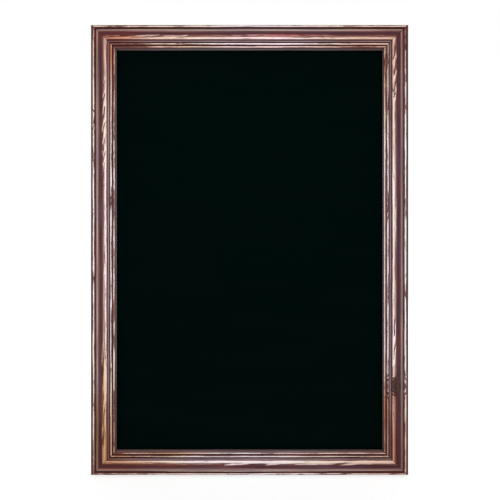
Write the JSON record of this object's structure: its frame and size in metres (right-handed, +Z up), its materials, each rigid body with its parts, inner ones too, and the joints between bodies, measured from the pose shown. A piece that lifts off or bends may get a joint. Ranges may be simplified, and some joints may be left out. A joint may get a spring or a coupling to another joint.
{
  "type": "slate writing board",
  "caption": "Upright chalk writing board for a wall: a mitred frame of beaded, rubbed-through stained timber round a black panel, with swinging ring hangers on the back.",
  "frame": {"origin": "middle of the top rail's back face, where the board bears on the wall", "axes": "+Z up, +X right as seen from the writing side, +Y backwards into the wall; the writing face looks along -Y"},
  "size_m": [0.478, 0.026, 0.678],
  "materials": {
    "stained_pine": "dark brown stain rubbed through to pale wood on the beads, satin",
    "slate_laminate": "dead matt, near-black with a green tinge",
    "hardboard": "raw, matt",
    "plain_steel": "mill, dull",
    "zinc_plated_steel": "bright zinc",
    "brassed_steel": "brass plated",
    "felt": "pressed felt"
  },
  "bodies": {
    "frame": {"rail_top": "stained_pine", "rail_bottom": "stained_pine", "stile_left": "stained_pine", "stile_right": "stained_pine", "slate_face": "slate_laminate", "panel_core": "hardboard", "v_nails_top_left": "plain_steel", "v_nails_top_right": "plain_steel", "v_nails_bottom_left": "plain_steel", "v_nails_bottom_right": "plain_steel", "framer_points_top": "zinc_plated_steel", "framer_points_bottom": "zinc_plated_steel", "framer_points_left": "zinc_plated_steel", "framer_points_right": "zinc_plated_steel", "hanger_strap_left": "brassed_steel", "hanger_screw_left": "zinc_plated_steel", "wall_bumper_left": "felt", "hanger_strap_right": "brassed_steel", "hanger_screw_right": "zinc_plated_steel", "wall_bumper_right": "felt"},
    "ring_left": {"hanger_ring_left": "brassed_steel"},
    "ring_right": {"hanger_ring_right": "brassed_steel"}
  },
  "joints": [
    {"name": "ring_swing_left", "type": "hinge", "parent": "frame", "child": "ring_left", "pos_m": [-0.2235, 0.00188, -0.1545], "axis": [-1, 0, 0], "range_deg": [0, 178]},
    {"name": "ring_swing_right", "type": "hinge", "parent": "frame", "child": "ring_right", "pos_m": [0.2235, 0.00188, -0.1545], "axis": [-1, 0, 0], "range_deg": [0, 178]}
  ]
}
